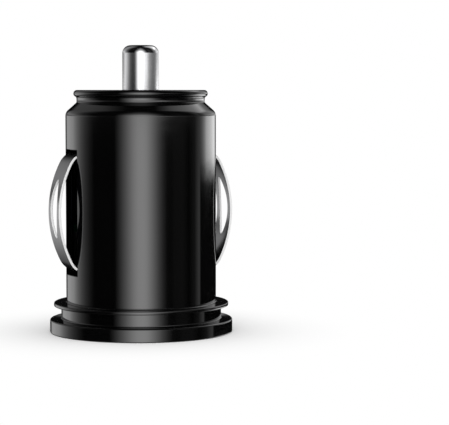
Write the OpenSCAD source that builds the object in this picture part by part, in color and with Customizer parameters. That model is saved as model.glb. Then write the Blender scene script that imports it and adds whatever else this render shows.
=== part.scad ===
// Twin port charger plug for a 12 volt car socket, standing on its port face.
// Heights run up from the port face, and the long sides of the ports run along X.

/* [Barrel] */
// Wall of the barrel
barrel_wall = 0.8; // [0.7:0.05:1]
// Radius that turns the barrel into its shoulder
shoulder_r = 1.0; // [0.6:0.1:1.4]
// Angle of the shoulder above the level
shoulder_angle = 41.7; // [38:0.1:46]
// How far the neck under the rim lies inside the barrel's outside
neck_depth = 1.52; // [1.4:0.02:1.7]
// Radius of the hollow round the neck
neck_r = 0.7; // [0.6:0.05:0.9]
// How far the rolled rim lies inside the barrel's outside
rim_step = 1.1; // [0.9:0.05:1.2]
// Radius of the rolled rim
rim_r = 0.48; // [0.4:0.02:0.56]
// Wall between the neck and the recess in the end
rim_wall = 0.75; // [0.6:0.05:1]
// Depth of the recess in the end
end_recess = 1.5; // [1.2:0.1:2]
// Thickness of the end wall that carries the tip pin
end_wall = 1.9; // [1.6:0.1:2.2]
// Wall of the collar round the tip pin
collar_wall = 1.2; // [0.8:0.1:1.6]
// Height of the collar above the end wall
collar_h = 0.7; // [0.4:0.1:1.1]
// Chamfer inside the barrel under the end wall
inner_chamfer = 1.0; // [0.6:0.1:1.4]

/* [Rings and flange] */
// How far the thin ring at the barrel's foot stands out from the barrel
ring_w = 1.7; // [1.4:0.05:2]
// Thickness of the thin ring
ring_t = 0.5; // [0.4:0.05:0.8]
// How far the groove's wall under the thin ring stands out from the barrel
groove_w = 0.7; // [0.5:0.05:0.9]
// Height of the groove
groove_h = 1.75; // [1.5:0.05:2.2]
// How far the flange stands out from the barrel
flange_w = 2.25; // [2.1:0.05:2.6]
// Thickness of the flange
flange_t = 1.85; // [1.6:0.05:2.4]
// Rounding of the flange's edges
flange_edge = 0.22; // [0.12:0.02:0.3]
// Rounding of the thin ring's edge
ring_edge = 0.12; // [0.06:0.02:0.18]
// Seam between the barrel's foot and the cap
seam_gap = 0.04; // [0.02:0.01:0.08]

/* [Port openings] */
// Gap between a port's shell and the short sides of its opening
opening_side = 0.85; // [0.7:0.05:1]
// Gap between a port's shell and the long sides of its opening
opening_top = 0.89; // [0.7:0.01:0.95]
// Width of the face plate between the two openings
bridge_w = 0.69; // [0.6:0.01:0.9]
// Corner radius of the openings
opening_corner = 1.2; // [0.9:0.1:1.5]
// Depth of the recess in front of each port
opening_depth = 2.6; // [2.3:0.1:2.8]
// Width of the rounded lip round each opening
lip_w = 0.3; // [0.2:0.02:0.34]
// Thickness of the face plate
plate_t = 0.8; // [0.6:0.05:1]
// Width of the flange's lip round the face plate
plate_lip = 0.26; // [0.24:0.02:0.4]
// Gap all round the face plate
plate_gap = 0.04; // [0.02:0.01:0.06]

/* [Ports] */
// Inside width of a port's metal shell
port_w = 12.5; // [12.4:0.02:12.6]
// Inside height of a port's metal shell
port_h = 5.12; // [5.06:0.02:5.2]
// Thickness of the metal shell
shell_t = 0.25; // [0.2:0.01:0.3]
// Outside corner radius of the metal shell
shell_corner = 0.8; // [0.6:0.05:1]
// Length of the metal shell
shell_len = 10.8; // [10.4:0.1:11.2]
// Gap between a shell and the cap's window
window_gap = 0.1; // [0.05:0.01:0.14]
// Gap between a shell's corner and the barrel's wall
shell_room = 0.133; // [0.1:0.001:0.2]
// Gap between the insulating tongue and each narrow wall of the shell
tongue_side = 0.7; // [0.6:0.05:0.8]
// Thickness of the insulating tongue
tongue_t = 1.84; // [1.7:0.02:1.9]
// Gap between the tongue and the nearer wide wall of the shell
tongue_gap = 0.64; // [0.56:0.02:0.74]
// Distance from the shell's front edge back to the tongue
tongue_setback = 1.6; // [1.5:0.05:2]
// Thickness of the insulator at the back of the shell
insulator_t = 1.8; // [1.4:0.1:2.2]
// Width of a contact
contact_w = 1.0; // [0.8:0.05:1.1]
// Thickness of a contact
contact_t = 0.2; // [0.15:0.01:0.25]
// Radius of the bump near the front of a contact
contact_bump_r = 1.5; // [1.2:0.1:2]
// Width of a retaining spring in the shell
latch_w = 2.4; // [2:0.1:2.8]
// Length of a retaining spring in the shell
latch_len = 4.8; // [4.4:0.1:5.2]
// How far a retaining spring bends into the port
latch_bend = 0.34; // [0.2:0.02:0.4]

/* [Ground contacts] */
// Width of a ground contact
leaf_w = 5.2; // [4.8:0.1:5.4]
// Thickness of a ground contact
leaf_t = 0.35; // [0.3:0.01:0.4]
// How far a ground contact stands out of the barrel
leaf_bulge = 2.13; // [1.9:0.01:2.2]
// Distance from the slot for a ground contact up to the end wall
slot_to_end = 4.65; // [4.4:0.05:5]
// Distance from the thin ring up to the slot
slot_from_ring = 4.0; // [3.9:0.05:4.5]
// Gap beside a ground contact in its slot
leaf_side_gap = 0.22; // [0.15:0.01:0.3]
// Gap between a ground contact's tail and the barrel's wall
leaf_gap = 0.25; // [0.22:0.01:0.3]
// Angle of the bow's long arc on each side of its top
leaf_turn = 26.8; // [25:0.1:29]
// Radius of the tighter arc at each end of the bow
leaf_end_r = 3.0; // [2.6:0.1:3.4]
// Radius of the bend between bow and tail
leaf_bend_r = 0.8; // [0.6:0.05:1]
// Length of a straight tail
leaf_tail = 1.4; // [1:0.1:1.6]
// Distance past the slot's end at which a tail begins
leaf_overrun = 0.3; // [0.2:0.05:0.4]
// Width of the oval window in a ground contact
leaf_window_w = 3.2; // [2.6:0.1:3.4]
// Length of the oval window in a ground contact
leaf_window_len = 7.9; // [7.2:0.1:8.4]
// Radius of the window's ends
leaf_window_end = 0.6; // [0.45:0.05:0.9]
// How far the window's middle lies above the bow's middle
leaf_window_lift = 0.5; // [0:0.05:0.6]
// Travel of a ground contact into the barrel
leaf_travel = 1.8; // [1.6:0.05:1.8]

/* [Tip pin] */
// Diameter of the tip pin
pin_d = 5.0; // [4.8:0.05:5.2]
// How far the tip pin stands above the rim
pin_out = 6.1; // [5.6:0.1:6.6]
// Rounding of the pin's end
pin_edge = 1.1; // [0.9:0.05:1.3]
// Running gap between the pin and the end wall
pin_gap = 0.07; // [0.04:0.01:0.1]
// Travel of the tip pin
pin_travel = 2.0; // [1.6:0.1:2.1]
// Width of the pin's flange beyond the pin
pin_flange_w = 0.9; // [0.6:0.1:1.1]
// Thickness of the pin's flange
pin_flange_t = 0.8; // [0.6:0.05:1]
// Wire diameter of the tip spring
coil_wire = 0.44; // [0.36:0.02:0.48]
// Middle diameter of the tip spring
coil_d = 3.9; // [3.7:0.1:4.2]
// Turns of the tip spring
coil_turns = 4.5; // [4:0.5:5]
// Distance between the tip terminal and the pin's flange at rest
coil_room = 4.3; // [4.2:0.05:4.6]
// Diameter of the stub and the boss that centre the tip spring
coil_guide_d = 2.6; // [2.2:0.1:2.8]
// Thickness of the tip terminal
terminal_t = 0.4; // [0.3:0.05:0.5]

/* [Circuit] */
// Thickness of the port board
port_board_t = 1.0; // [0.8:0.1:1.2]
// Thickness of the power board
power_board_t = 1.0; // [0.8:0.1:1.2]
// Gap between the boards' edges and the barrel's wall
board_gap = 0.2; // [0.15:0.05:0.3]
// Gap that keeps seated pieces apart
seat_gap = 0.03; // [0.02:0.01:0.05]
// Diameter of the inductor
inductor_d = 7.0; // [6.4:0.1:7.2]
// Height of the inductor
inductor_h = 4.2; // [3.8:0.1:4.6]
// Wire diameter of the inductor's winding
winding_wire = 0.5; // [0.4:0.05:0.6]
// Diameter of the input capacitor
input_cap_d = 6.3; // [5.8:0.1:6.4]
// Height of the input capacitor
input_cap_h = 7.0; // [6.6:0.1:7.4]
// Diameter of the output capacitor
output_cap_d = 5.0; // [4.6:0.1:5.2]
// Height of the output capacitor
output_cap_h = 5.4; // [5:0.1:5.5]
// Length of the converter chip
chip_len = 4.9; // [4.6:0.1:5]
// Width of the converter chip
chip_w = 3.9; // [3.7:0.1:4]
// Height of the converter chip
chip_h = 1.5; // [1.3:0.1:1.7]
// Room between the input capacitor's top and the ground brackets
can_room = 1.21; // [1:0.01:1.6]
// Height of the tip terminal above the ground brackets
terminal_lift = 0.9; // [0.7:0.05:1.2]
// Length of the input fuse
fuse_len = 3.2; // [2.8:0.1:3.4]
// Length of the small chip parts
small_len = 1.6; // [1.4:0.1:1.7]
// Width of the small chip parts
small_w = 0.8; // [0.6:0.05:0.9]

/* [Hidden] */
$fn = 96;

// Ports: they stand one opening, two lips and a bridge apart
shell_w = port_w + 2 * shell_t;
shell_h = port_h + 2 * shell_t;
shell_inner_corner = shell_corner - shell_t;
opening_w = shell_w + 2 * opening_side;
opening_h = shell_h + 2 * opening_top;
port_pitch = opening_h + 2 * (lip_w + plate_gap) + bridge_w;
shell_front = opening_depth;
shell_back = shell_front + shell_len;
tongue_front = shell_front + tongue_setback;
tongue_w = port_w - 2 * tongue_side;
tongue_offset = port_h / 2 - tongue_gap - tongue_t / 2;
port_sides = [1, -1];
contact_pitch = 2.5;
contact_mid = 1;
contact_places = [
    -contact_mid - contact_pitch, -contact_mid, contact_mid, contact_mid + contact_pitch
];
contact_y = tongue_offset - tongue_t / 2 - seat_gap;
contact_setback = 1.1;
contact_tail = 0.7;
contact_slack = 0.05;
latch_places = [-1, 1];
latch_spacing = 6.4;
latch_start = tongue_front + 1.2;
latch_cut = 0.3;
leg_w = 1.5;
leg_out = 0.7;

// Widths: the shells' corners set the bore, and the bore sets all that is round it
corner_reach = norm([shell_w / 2 - shell_corner, port_pitch / 2 + shell_h / 2 - shell_corner]);
bore_r = corner_reach + shell_corner + shell_room;
barrel_r = bore_r + barrel_wall;
ring_r = barrel_r + ring_w;
groove_r = barrel_r + groove_w;
flange_r = barrel_r + flange_w;
neck_min_r = barrel_r - neck_depth;
recess_r = neck_min_r - rim_wall;
board_r = bore_r - board_gap;

// Heights above the port face: the ports and the circuit set the height of the end wall
ring_z = flange_t + groove_h;
foot_z = ring_z + ring_t;
port_board_z = shell_back + seat_gap;
port_board_top = port_board_z + port_board_t;
power_board_z = port_board_top + seat_gap;
input_cap_z = port_board_top + leg_out + seat_gap;
fork_plate_z = input_cap_z + input_cap_h + can_room;
terminal_z = fork_plate_z + terminal_lift;
terminal_top = terminal_z + terminal_t;
flange_bottom = terminal_top + coil_room;
flange_top = flange_bottom + pin_flange_t;
end_wall_in = flange_top + seat_gap;
end_wall_out = end_wall_in + end_wall;
rim_z = end_wall_out + end_recess;
pin_top = rim_z + pin_out;
slot_z = foot_z + slot_from_ring;
slot_len = end_wall_in - slot_to_end - slot_z;
slot_mid = slot_z + slot_len / 2;

// Barrel: its outline is worked out from the neck, the rim and the shoulder
rim_c = [barrel_r - rim_step - rim_r, rim_z - rim_r];
neck_c_r = neck_min_r + neck_r;
neck_c = [neck_c_r, rim_c[1] - sqrt(pow(rim_r + neck_r, 2) - pow(neck_c_r - rim_c[0], 2))];
neck_start = neck_c - neck_r * [sin(shoulder_angle), cos(shoulder_angle)];
neck_end = rim_c + rim_r / (rim_r + neck_r) * (neck_c - rim_c);
shoulder_corner = neck_start[1] - (barrel_r - neck_start[0]) * tan(shoulder_angle);
shoulder_cut = shoulder_r * tan((90 - shoulder_angle) / 2);
shoulder_start = [barrel_r, shoulder_corner - shoulder_cut];
shoulder_end = [
    barrel_r - shoulder_cut * cos(shoulder_angle),
    shoulder_corner + shoulder_cut * sin(shoulder_angle)
];

// Face plate and lips
plate_r = flange_r - plate_lip - plate_gap;
plate_hole_w = opening_w + 2 * (lip_w + plate_gap);
plate_hole_h = opening_h + 2 * (lip_w + plate_gap);
plate_hole_corner = opening_corner + lip_w + plate_gap;

// Snap arms that hold the cap in the barrel
snap_r = bore_r - 0.06;
snap_flat = port_pitch / 2 + shell_h / 2 + 0.15;
snap_half_w = 4;
snap_h = 3.2;
snap_z = ring_z + 1.9;
snap_out = 0.22;
snap_len = 0.8;
snap_gap = 0.06;
rib_half_w = 1.2;
rib_in = 1.8;
rib_h = 1.9;

// Ground contacts: a long arc runs into a tighter one at each end, which bends back into a tail
leaf_edge_x = sqrt(pow(bore_r, 2) - pow(leaf_w / 2, 2));
tail_x = leaf_edge_x - leaf_gap;
leaf_top_x = barrel_r + leaf_bulge;
bend_x = tail_x + leaf_bend_r;
bend_z = slot_len / 2 + leaf_overrun;
turn_depth = 1 - cos(leaf_turn);
end_rise = bend_x - leaf_top_x + leaf_end_r;
end_run = bend_z * sin(leaf_turn) - end_rise * turn_depth;
end_far = pow(end_rise, 2) + pow(bend_z, 2) - pow(leaf_end_r + leaf_bend_r, 2);
end_reach = (end_run - sqrt(pow(end_run, 2) - 2 * turn_depth * end_far)) / (2 * turn_depth);
bow_r = end_reach + leaf_end_r;
bow_x = leaf_top_x - bow_r;
end_x = bow_x + end_reach * cos(leaf_turn);
end_z = end_reach * sin(leaf_turn);
end_angle = atan2(bend_z - end_z, bend_x - end_x);
leaf_lap = 0.01;
slot_w = leaf_w + 2 * leaf_side_gap;
tail_inner_pressed = tail_x - leaf_t - leaf_travel;

// Tip pin, its spring and its terminal
pin_r = pin_d / 2;
terminal_r = coil_d / 2 + coil_wire / 2 + 0.5;
terminal_leg_w = 1.8;
guide_h = 0.9;
coil_sides = 8;
coil_steps = 18;

// Power board and the brackets on it
board_half_t = power_board_t / 2;
board_half_w = sqrt(pow(board_r, 2) - pow(board_half_t, 2)) - 0.5;
notch_half_w = pin_r + pin_flange_w + 0.25;
power_board_top = flange_bottom - pin_travel + 0.4;
part_x = board_half_t + seat_gap;
fork_gap = 0.06;
fork_t = 0.35;
fork_foot_h = can_room - 0.21;
fork_x = tail_inner_pressed - 0.2;
fork_top = slot_mid + bend_z + leaf_tail;
fork_bottom = slot_mid + bend_z + 0.1;
fork_reach = tail_x - 0.1;
fork_half_w = leaf_w / 2 + fork_gap + fork_t;

// Places of the circuit's parts, each a clearance away from the board or the part beside it
inductor_y = -inductor_d / 2 - 0.8;
inductor_z = power_board_z + inductor_d / 2 + 0.9;
core_flange_t = 0.8;
winding_room = 1.8;
core_hub_r = inductor_d / 2 - winding_room;
winding_turns = floor((inductor_h - 2 * core_flange_t) / winding_wire);
winding_pitch = (inductor_h - 2 * core_flange_t) / winding_turns;
input_cap_at = [-board_half_t - 0.25 - input_cap_d / 2, input_cap_d / 2 + 1.15];
lead_spacing = 2.5;
output_cap_side = output_cap_d / 2 + 0.15;
output_cap_y = output_cap_side + 1.25;
output_cap_z = power_board_z + output_cap_side + 1.55;
chip_foot = 1;
chip_y = -chip_len / 2 - 1.75;
chip_z = power_board_z + 0.15 + chip_foot + chip_w / 2;
diode_body = [2.4, 4.2, 2.0];
diode_tab = [1.4, 0.9, 0.4];
diode_y = chip_y - 1.5;
diode_z = chip_z + chip_w / 2 + chip_foot + 0.15 + diode_body[0] / 2;
small_z = fork_plate_z + small_len;
small_y = -5;
small_pitch = small_w + 0.4;
fuse_y = fuse_len / 2 + 4.5;
control_chip = [1.6, 2.9, 1.1];
control_chip_x = shell_w / 2 - 0.1 - chip_foot - control_chip[0] / 2;
control_chip_places = [[control_chip_x, -0.1], [-control_chip_x, -0.7]];
cut = 1;

// A rectangle with rounded corners, centred
module rounded_rect(w, h, r) {
    square([w - 2 * r, h], center = true);
    square([w, h - 2 * r], center = true);
    for (x = [-1, 1], y = [-1, 1])
        translate([x * (w / 2 - r), y * (h / 2 - r)]) circle(r);
}

// A half section that runs from the axis out to r, with its outer corners rounded
module rounded_disc(r, z0, z1, edge) {
    translate([0, z0]) square([r - edge, z1 - z0]);
    translate([0, z0 + edge]) square([r, z1 - z0 - 2 * edge]);
    for (z = [z0 + edge, z1 - edge])
        translate([r - edge, z]) circle(edge);
}

// A ring with a square section
module tube(r_out, r_in, h) {
    difference() {
        cylinder(r = r_out, h = h);
        translate([0, 0, -cut]) cylinder(r = r_in, h = h + 2 * cut);
    }
}

// What is drawn for one port is moved to its place
module at_port(side) {
    translate([0, side * port_pitch / 2, 0]) children();
}

module barrel_outline() {
    polygon([
        [0, ring_z], [barrel_r, ring_z], shoulder_start, shoulder_end, neck_start, neck_end,
        rim_c, [rim_c[0], rim_z], [0, rim_z]
    ]);
    translate([barrel_r - shoulder_r, shoulder_start[1]]) circle(shoulder_r);
    translate(rim_c) circle(rim_r);
    rounded_disc(ring_r, ring_z, foot_z, ring_edge);
}

module barrel_hollow() {
    polygon([
        [0, ring_z - cut], [bore_r, ring_z - cut], [bore_r, end_wall_in - inner_chamfer],
        [bore_r - inner_chamfer, end_wall_in], [0, end_wall_in]
    ]);
}

module barrel_shell() {
    collar_r = pin_r + pin_gap + collar_wall;
    color([0.03, 0.03, 0.035])
    difference() {
        rotate_extrude() difference() {
            barrel_outline();
            translate(neck_c) circle(neck_r);
            barrel_hollow();
            translate([collar_r, end_wall_out]) square([recess_r - collar_r, end_recess + cut]);
            translate([0, end_wall_out + collar_h]) square([collar_r + cut / 2, end_recess]);
        }
        cylinder(r = pin_r + pin_gap, h = rim_z + cut);
        for (side = port_sides)
            translate([side > 0 ? 0 : -2 * barrel_r, -slot_w / 2, slot_z])
                cube([2 * barrel_r, slot_w, slot_len]);
        intersection() {
            translate([0, 0, snap_z - snap_gap])
                tube(bore_r + snap_out + snap_gap, bore_r - cut, snap_len + 2 * snap_gap);
            cube([2 * snap_half_w + 0.4, 4 * bore_r, 4 * ring_z], center = true);
        }
    }
}

// The rounded lip that stands round one opening, drawn as one corner and one side at a time
module opening_lip() {
    r = lip_w / 2;
    straight_w = opening_w - 2 * opening_corner;
    straight_h = opening_h - 2 * opening_corner;
    path_r = opening_corner + r;
    for (a = [0, 1, 2, 3]) {
        long = a % 2 == 0;
        rotate([0, 0, 90 * a]) {
            translate([(long ? straight_w : straight_h) / 2, (long ? straight_h : straight_w) / 2, 0])
                rotate_extrude(angle = 90) translate([path_r, r]) circle(r);
            translate([0, (long ? straight_h : straight_w) / 2 + path_r, r])
                rotate([0, 90, 0])
                    cylinder(r = r, h = long ? straight_w : straight_h, center = true);
        }
    }
}

module cap_body() {
    difference() {
        rotate_extrude() union() {
            rounded_disc(flange_r, 0, flange_t, flange_edge);
            translate([0, flange_t - flange_edge])
                square([groove_r, groove_h + flange_edge - seam_gap]);
        }
        translate([0, 0, -cut]) cylinder(r = plate_r + plate_gap, h = plate_t + plate_gap + cut);
    }
    for (side = port_sides)
        at_port(side) {
            translate([0, 0, lip_w / 2]) linear_extrude(plate_t) difference() {
                rounded_rect(opening_w + 2 * lip_w, opening_h + 2 * lip_w, opening_corner + lip_w);
                rounded_rect(opening_w, opening_h, opening_corner);
            }
            opening_lip();
        }
    intersection() {
        union() {
            cylinder(r = snap_r, h = ring_z + snap_h);
            translate([0, 0, snap_z]) cylinder(r1 = snap_r, r2 = bore_r + snap_out, h = snap_len / 2);
            translate([0, 0, snap_z + snap_len / 2])
                cylinder(r1 = bore_r + snap_out, r2 = snap_r, h = snap_len / 2);
        }
        translate([-snap_half_w, 0, ring_z - cut]) for (side = port_sides)
            translate([0, side > 0 ? snap_flat : -snap_flat - bore_r, 0])
                cube([2 * snap_half_w, bore_r, snap_h + 2 * cut]);
    }
    intersection() {
        tube(snap_r, snap_r - rib_in, ring_z + rib_h);
        translate([-bore_r, -rib_half_w, ring_z - cut]) cube([2 * bore_r, 2 * rib_half_w, rib_h + cut]);
    }
}

module head_cap() {
    color([0.035, 0.035, 0.04])
    difference() {
        cap_body();
        for (side = port_sides)
            at_port(side) {
                translate([0, 0, -cut]) linear_extrude(opening_depth + cut)
                    rounded_rect(opening_w, opening_h, opening_corner);
                linear_extrude(ring_z + cut)
                    rounded_rect(shell_w + 2 * window_gap, shell_h + 2 * window_gap, shell_corner);
            }
    }
}

module face_plate() {
    color([0.17, 0.17, 0.175])
    linear_extrude(plate_t) difference() {
        circle(plate_r);
        for (side = port_sides)
            at_port(side) rounded_rect(plate_hole_w, plate_hole_h, plate_hole_corner);
    }
}

module tip_pin() {
    color([0.8, 0.8, 0.82])
    rotate_extrude() union() {
        translate([0, flange_bottom]) square([pin_r, pin_top - pin_edge - flange_bottom]);
        translate([0, flange_bottom]) square([pin_r - pin_edge, pin_top - flange_bottom]);
        intersection() {
            translate([pin_r - pin_edge, pin_top - pin_edge]) circle(pin_edge);
            translate([0, pin_top - 2 * pin_edge]) square([pin_r, 2 * pin_edge]);
        }
        translate([0, flange_bottom]) square([pin_r + pin_flange_w, pin_flange_t]);
        translate([0, flange_bottom - guide_h]) square([coil_guide_d / 2, guide_h + cut / 2]);
    }
}

// Points of one ring of the tip spring's wire, after the given share of the coil
function coil_ring(t) = let (
    wire = coil_wire / 2 - 0.01,
    a = 360 * coil_turns * t,
    z = terminal_top + coil_wire / 2 + (coil_room - coil_wire) * t
) [
    for (k = [0 : coil_sides - 1]) let (b = 360 * k / coil_sides, r = coil_d / 2 + wire * cos(b))
        [r * cos(a), r * sin(a), z + wire * sin(b)]
];

module tip_spring() {
    rings = floor(coil_turns * coil_steps);
    points = [for (i = [0 : rings]) each coil_ring(i / rings)];
    sides = [
        for (i = [0 : rings - 1], k = [0 : coil_sides - 1])
            let (a = i * coil_sides + k, b = i * coil_sides + (k + 1) % coil_sides)
                each [[a, a + coil_sides, b + coil_sides], [a, b + coil_sides, b]]
    ];
    first = [for (k = [0 : coil_sides - 1]) k];
    last = [for (k = [coil_sides - 1 : -1 : 0]) rings * coil_sides + k];
    color([0.72, 0.72, 0.74]) polyhedron(points, concat(sides, [first, last]), convexity = 10);
}

module tip_terminal() {
    leg_drop = 1.4;
    color([0.78, 0.66, 0.35]) {
        translate([0, 0, terminal_z]) cylinder(r = terminal_r, h = terminal_t);
        translate([0, 0, terminal_z]) cylinder(r = coil_guide_d / 2, h = terminal_t + guide_h);
        for (side = port_sides)
            translate([side * (part_x + terminal_t / 2), 0, terminal_z - leg_drop / 2 + terminal_t / 2])
                cube([terminal_t, terminal_leg_w, leg_drop + terminal_t], center = true);
    }
}

// A stretch of the strip, bent round the origin, with its outside at r
module leaf_arc(r, from, to) {
    mid = (from + to) / 2;
    intersection() {
        difference() {
            circle(r);
            circle(r - leaf_t);
        }
        polygon([[0, 0], for (a = [from, mid, to]) 2 * r * [cos(a), sin(a)]]);
    }
}

// Side view of a ground contact, with the bow's middle height at zero
module leaf_side() {
    bow_half = leaf_turn + leaf_lap / bow_r * 180 / PI;
    end_to = end_angle + leaf_lap / leaf_end_r * 180 / PI;
    translate([bow_x, 0]) leaf_arc(bow_r, -bow_half, bow_half);
    for (m = [0, 1])
        mirror([0, m]) {
            translate([end_x, end_z]) leaf_arc(leaf_end_r, leaf_turn, end_to);
            translate([bend_x, bend_z]) leaf_arc(leaf_bend_r + leaf_t, 180, 180 + end_angle);
            translate([tail_x - leaf_t, bend_z - leaf_lap]) square([leaf_t, leaf_tail + leaf_lap]);
        }
}

// The oval window: two long arcs that run into small round ends
module leaf_window() {
    half_w = leaf_window_w / 2;
    end_c = leaf_window_len / 2 - leaf_window_end;
    side_r = (pow(half_w, 2) + pow(end_c, 2) - pow(leaf_window_end, 2))
        / (2 * (half_w - leaf_window_end));
    meet = side_r * end_c / (side_r - leaf_window_end);
    intersection() {
        translate([side_r - half_w, 0]) circle(side_r, $fn = 240);
        translate([half_w - side_r, 0]) circle(side_r, $fn = 240);
        square([leaf_window_w, 2 * meet], center = true);
    }
    for (m = [-1, 1])
        translate([0, m * end_c]) circle(leaf_window_end);
}

module ground_contact() {
    color([0.62, 0.62, 0.64])
    translate([0, 0, slot_mid]) difference() {
        rotate([90, 0, 0]) linear_extrude(leaf_w, center = true) leaf_side($fn = 240);
        translate([0, 0, leaf_window_lift])
            rotate([90, 0, 90]) linear_extrude(2 * leaf_top_x) leaf_window();
    }
}

module ground_contact_right() {
    ground_contact();
}

module ground_contact_left() {
    mirror([1, 0, 0]) ground_contact();
}

// A bracket on the power board whose fork keeps hold of a ground contact's upper tail
module ground_terminal() {
    color([0.78, 0.66, 0.35]) {
        difference() {
            union() {
                translate([part_x, -fork_half_w, fork_plate_z])
                    cube([fork_x - part_x, 2 * fork_half_w, fork_t]);
                translate([part_x, -fork_half_w, fork_plate_z - fork_foot_h])
                    cube([fork_t, 2 * fork_half_w, fork_foot_h + fork_t]);
            }
            translate([0, -terminal_leg_w / 2 - 0.3, fork_plate_z - 2 * fork_foot_h])
                cube([part_x + terminal_t + 0.3, terminal_leg_w + 0.6, 4 * fork_foot_h]);
        }
        translate([fork_x - fork_t, -fork_half_w, fork_plate_z])
            cube([fork_t, 2 * fork_half_w, fork_top - fork_plate_z]);
        for (side = port_sides)
            translate([fork_x - fork_t, side > 0 ? fork_half_w - fork_t : -fork_half_w, fork_bottom])
                cube([fork_reach - fork_x + fork_t, fork_t, fork_top - fork_bottom]);
    }
}

module ground_terminal_right() {
    ground_terminal();
}

module ground_terminal_left() {
    mirror([1, 0, 0]) ground_terminal();
}

// One wide wall's retaining spring, bent into the port and back
module latch(x) {
    wall = shell_h / 2;
    knee = latch_len * 0.6;
    translate([x + latch_w / 2, 0, latch_start]) rotate([90, 0, -90]) linear_extrude(latch_w)
        polygon([
            [wall - shell_t, -0.1], [wall, -0.1], [wall, 0], [wall - latch_bend, knee],
            [wall - 0.08, latch_len], [wall - 0.08 - shell_t, latch_len],
            [wall - latch_bend - shell_t, knee], [wall - shell_t, 0]
        ]);
}

module port_shell(side) {
    color([0.7, 0.7, 0.72])
    at_port(side) {
        difference() {
            translate([0, 0, shell_front]) linear_extrude(shell_len) difference() {
                rounded_rect(shell_w, shell_h, shell_corner);
                rounded_rect(port_w, port_h, shell_inner_corner);
            }
            for (x = latch_places)
                translate([x * latch_spacing / 2 - latch_w / 2 - latch_cut, -shell_h, latch_start])
                    cube([latch_w + 2 * latch_cut, 2 * shell_h, latch_len + latch_cut]);
        }
        for (x = latch_places, m = [0, 1])
            mirror([0, m, 0]) latch(x * latch_spacing / 2);
        for (x = [-1, 1])
            translate([x > 0 ? shell_w / 2 - shell_t : -shell_w / 2, -leg_w / 2, shell_back - cut])
                cube([shell_t, leg_w, cut + port_board_t + leg_out]);
    }
}

module port_shell_upper() {
    port_shell(1);
}

module port_shell_lower() {
    port_shell(-1);
}

module port_tongue(side) {
    block_w = port_w - 2 * contact_slack;
    block_h = port_h - 2 * contact_slack;
    tip = 0.35;
    color([0.05, 0.05, 0.055])
    at_port(side) difference() {
        union() {
            translate([0, 0, shell_back - insulator_t]) linear_extrude(insulator_t)
                rounded_rect(block_w, block_h, shell_inner_corner);
            translate([0, tongue_offset, tongue_front]) rotate([90, 0, 90])
                linear_extrude(tongue_w, center = true)
                    polygon([
                        [-tongue_t / 2, tip], [tip - tongue_t / 2, 0], [tongue_t / 2 - tip, 0],
                        [tongue_t / 2, tip], [tongue_t / 2, shell_len - tongue_setback - cut],
                        [-tongue_t / 2, shell_len - tongue_setback - cut]
                    ]);
        }
        for (x = contact_places)
            translate([x - contact_w / 2 - contact_slack, contact_y - contact_t - contact_slack, shell_front])
                cube([contact_w + 2 * contact_slack, contact_t + seat_gap + contact_slack, shell_len + cut]);
    }
}

module port_tongue_upper() {
    port_tongue(1);
}

module port_tongue_lower() {
    port_tongue(-1);
}

// Four flat contacts along the tongue, each with a rounded bump and a tail through the board
module port_contacts(side) {
    z0 = tongue_front + contact_setback;
    z1 = port_board_top + contact_tail;
    bump_h = 0.3;
    color([0.85, 0.68, 0.3])
    at_port(side) for (x = contact_places)
        translate([x, contact_y, 0]) rotate([90, 0, 90]) linear_extrude(contact_w, center = true)
            union() {
                translate([-contact_t, z0]) square([contact_t, z1 - z0]);
                intersection() {
                    translate([contact_bump_r - contact_t - bump_h, z0 + 1.2]) circle(contact_bump_r);
                    translate([-1, z0]) square([1 - contact_t / 2, 2.4]);
                }
            }
}

module port_contacts_upper() {
    port_contacts(1);
}

module port_contacts_lower() {
    port_contacts(-1);
}

// The round board behind the ports, with flats beside the ground contacts
module port_board() {
    hole = 0.15;
    color([0.05, 0.22, 0.12])
    difference() {
        translate([0, 0, port_board_z]) intersection() {
            cylinder(r = board_r, h = port_board_t);
            translate([-shell_w / 2, -board_r, 0]) cube([shell_w, 2 * board_r, port_board_t]);
        }
        for (side = port_sides)
            at_port(side) {
                for (x = contact_places)
                    translate([x - contact_w / 2 - hole, contact_y - contact_t - hole, port_board_z - cut])
                        cube([contact_w + 2 * hole, contact_t + 2 * hole, port_board_t + 2 * cut]);
                for (x = [-1, 1])
                    translate([x * shell_w / 2 - shell_t - hole, -leg_w / 2 - hole, port_board_z - cut])
                        cube([2 * (shell_t + hole), leg_w + 2 * hole, port_board_t + 2 * cut]);
            }
        for (y = [-1, 1])
            translate([input_cap_at[0], input_cap_at[1] + y * lead_spacing / 2, port_board_z - cut])
                cylinder(r = 0.35, h = port_board_t + 2 * cut);
    }
}

// The upright board between the inductor and the capacitors
module power_board() {
    color([0.05, 0.22, 0.12])
    difference() {
        translate([-board_half_t, -board_half_w, power_board_z])
            cube([power_board_t, 2 * board_half_w, power_board_top - power_board_z]);
        translate([-cut, -notch_half_w, terminal_z - seat_gap])
            cube([2 * cut, 2 * notch_half_w, power_board_top]);
        for (side = port_sides)
            at_port(side) for (x = [-1, 1])
                translate([x - contact_w, contact_y - contact_t - 0.15, power_board_z - cut])
                    cube([2 * contact_w, contact_t + 0.3, cut + contact_tail + 0.1]);
    }
}

module lying(y, z) {
    translate([part_x, y, z]) rotate([0, 90, 0]) children();
}

module inductor_core() {
    color([0.2, 0.2, 0.21])
    lying(inductor_y, inductor_z) union() {
        cylinder(r = inductor_d / 2, h = core_flange_t);
        cylinder(r = core_hub_r, h = inductor_h);
        translate([0, 0, inductor_h - core_flange_t]) cylinder(r = inductor_d / 2, h = core_flange_t);
    }
}

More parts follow.
